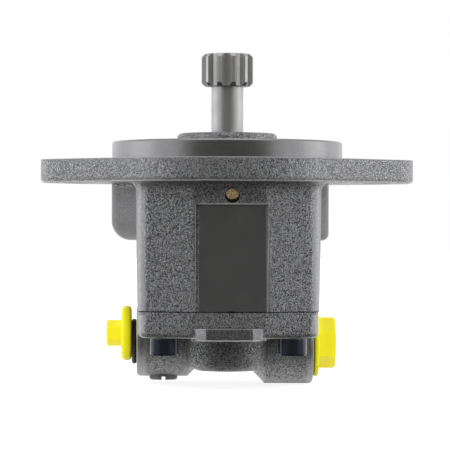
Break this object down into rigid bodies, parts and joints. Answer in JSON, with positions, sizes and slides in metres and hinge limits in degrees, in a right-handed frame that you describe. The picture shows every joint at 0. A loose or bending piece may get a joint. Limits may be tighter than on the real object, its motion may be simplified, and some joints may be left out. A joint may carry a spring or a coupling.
{
  "type": "fuel transfer pump",
  "caption": "External gear pump in cast iron with a two-bolt mounting flange, round pilot, splined drive shaft, bolted port cover with relief valve, and plastic port plugs.",
  "frame": {"origin": "on the drive shaft's axis, in the plane of the mounting face that the pilot stands up from", "axes": "+Z along the drive shaft towards its splined end, +X along the line of the two mounting bolts towards the right port, +Y towards the driven gear, away from the milled pad"},
  "size_m": [0.1336, 0.094, 0.1187],
  "materials": {
    "cast_iron": "as cast, blasted, machined at the pilot and flange",
    "steel": "turned and ground, oiled",
    "spring_steel": "tempered spring steel",
    "black_steel": "black oxide",
    "plug_steel": "dark phosphated steel",
    "bronze": "bored bearing bronze",
    "sintered_brass": "sintered, grainy",
    "rubber": "matt",
    "yellow_plastic": "moulded, slightly translucent, satin"
  },
  "bodies": {
    "pump_body": {"housing": "cast_iron", "cover": "cast_iron", "drive_bush_upper": "bronze", "drive_bush_lower": "bronze", "driven_bush_upper": "bronze", "driven_bush_lower": "bronze", "outer_shaft_seal": "rubber", "inner_shaft_seal": "rubber", "seal_garter_springs": "spring_steel", "seal_spacer": "black_steel", "seal_retaining_ring": "spring_steel", "weep_plug": "sintered_brass", "cover_seal": "rubber", "cover_screws": "black_steel", "locating_dowels": "steel", "relief_spring": "spring_steel", "relief_plug": "plug_steel"},
    "drive_line": {"drive_shaft": "steel", "drive_gear": "steel", "drive_key": "steel", "gear_retaining_rings": "spring_steel"},
    "driven_line": {"driven_gear": "steel", "driven_shaft": "steel"},
    "relief_valve": {"relief_poppet": "steel"},
    "left_ring": {"left_port_ring": "rubber"},
    "left_plug": {"left_port_plug": "yellow_plastic"},
    "right_ring": {"right_port_ring": "rubber"},
    "right_plug": {"right_port_plug": "yellow_plastic"}
  },
  "joints": [
    {"name": "drive_spin", "type": "hinge", "parent": "pump_body", "child": "drive_line", "pos_m": [0, 0, 0], "axis": [0, 0, 1], "continuous": true},
    {"name": "driven_spin", "type": "hinge", "parent": "pump_body", "child": "driven_line", "pos_m": [0, 0.025, 0], "axis": [0, 0, 1], "continuous": true},
    {"name": "relief_lift", "type": "slide", "parent": "pump_body", "child": "relief_valve", "axis": [0, 0, -1], "range_m": [0, 0.0015], "stiffness_N_per_m": 4000, "springref_m": -0.0035, "deforming": ["relief_spring"]},
    {"name": "left_plug_travel", "type": "slide", "parent": "pump_body", "child": "left_ring", "axis": [-1, 0, 0], "range_m": [0, 0.0075]},
    {"name": "left_plug_turn", "type": "hinge", "parent": "left_ring", "child": "left_plug", "pos_m": [-0.0324, 0.0125, -0.0626], "axis": [-1, 0, 0], "range_deg": [0, 1800]},
    {"name": "right_plug_travel", "type": "slide", "parent": "pump_body", "child": "right_ring", "axis": [1, 0, 0], "range_m": [0, 0.0105]},
    {"name": "right_plug_turn", "type": "hinge", "parent": "right_ring", "child": "right_plug", "pos_m": [0.0314, 0.0125, -0.066], "axis": [1, 0, 0], "range_deg": [0, 2520]}
  ],
  "couplings": [
    {"joint": "driven_spin", "follows": "drive_spin", "ratio": -1},
    {"joint": "left_plug_travel", "follows": "left_plug_turn", "m_per_rad": 0.00023873},
    {"joint": "right_plug_travel", "follows": "right_plug_turn", "m_per_rad": 0.00023873}
  ]
}
